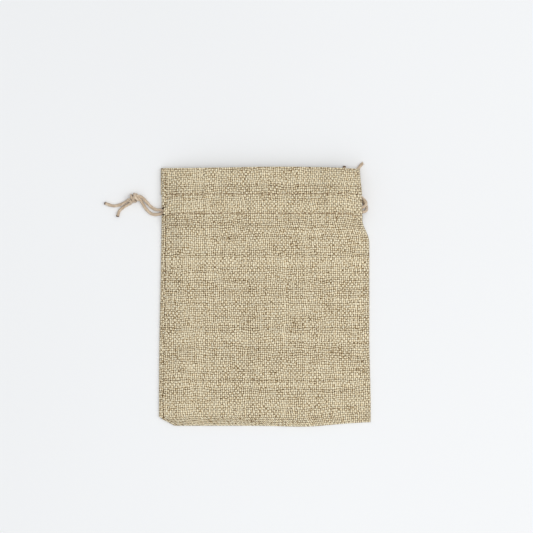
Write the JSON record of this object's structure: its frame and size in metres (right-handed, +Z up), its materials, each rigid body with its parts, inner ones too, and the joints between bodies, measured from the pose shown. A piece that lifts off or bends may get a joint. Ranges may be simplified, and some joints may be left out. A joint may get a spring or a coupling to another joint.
{
  "type": "drawstring gift pouch",
  "caption": "Flat woven pouch with a folded header and stitched casing, drawn shut by two satin cords that are pulled from opposite sides.",
  "frame": {"origin": "on the surface that the pouch lies on, under the middle of the cloth's bounding box", "axes": "+Z up from the back panel to the front panel, +Y from the bottom seam to the mouth, +X to the pouch's right as seen from its front"},
  "size_m": [0.1306, 0.1293, 0.0133],
  "materials": {
    "linen": "coarse plain weave of slubby natural linen yarn, matte",
    "thread": "fine twisted sewing thread, matte",
    "cord": "smooth satin rattail cord, soft sheen, ends melted dark"
  },
  "bodies": {
    "pouch": {"front_panel": "linen", "back_panel": "linen", "front_lower_stitching": "thread", "back_lower_stitching": "thread", "front_upper_stitching": "thread", "back_upper_stitching": "thread", "left_side_seam": "thread", "left_header_seam": "thread", "right_side_seam": "thread", "right_header_seam": "thread", "bottom_seam": "thread"},
    "left_drawstring": {"left_cord": "cord", "left_cord_knot": "cord", "left_cord_long_tail": "cord", "left_cord_short_tail": "cord"},
    "right_drawstring": {"right_cord": "cord", "right_cord_knot": "cord", "right_cord_long_tail": "cord", "right_cord_short_tail": "cord"}
  },
  "joints": [
    {"name": "left_drawstring_pull", "type": "slide", "parent": "pouch", "child": "left_drawstring", "axis": [-1, 0, 0], "range_m": [0, 0.026], "deforming": ["front_panel", "back_panel", "front_lower_stitching", "back_lower_stitching", "front_upper_stitching", "back_upper_stitching", "left_side_seam", "left_header_seam", "right_side_seam", "right_header_seam", "bottom_seam"]},
    {"name": "right_drawstring_pull", "type": "slide", "parent": "pouch", "child": "right_drawstring", "axis": [1, 0, 0], "range_m": [0, 0.026], "deforming": ["front_panel", "back_panel", "front_lower_stitching", "back_lower_stitching", "front_upper_stitching", "back_upper_stitching", "left_side_seam", "left_header_seam", "right_side_seam", "right_header_seam", "bottom_seam"]}
  ]
}
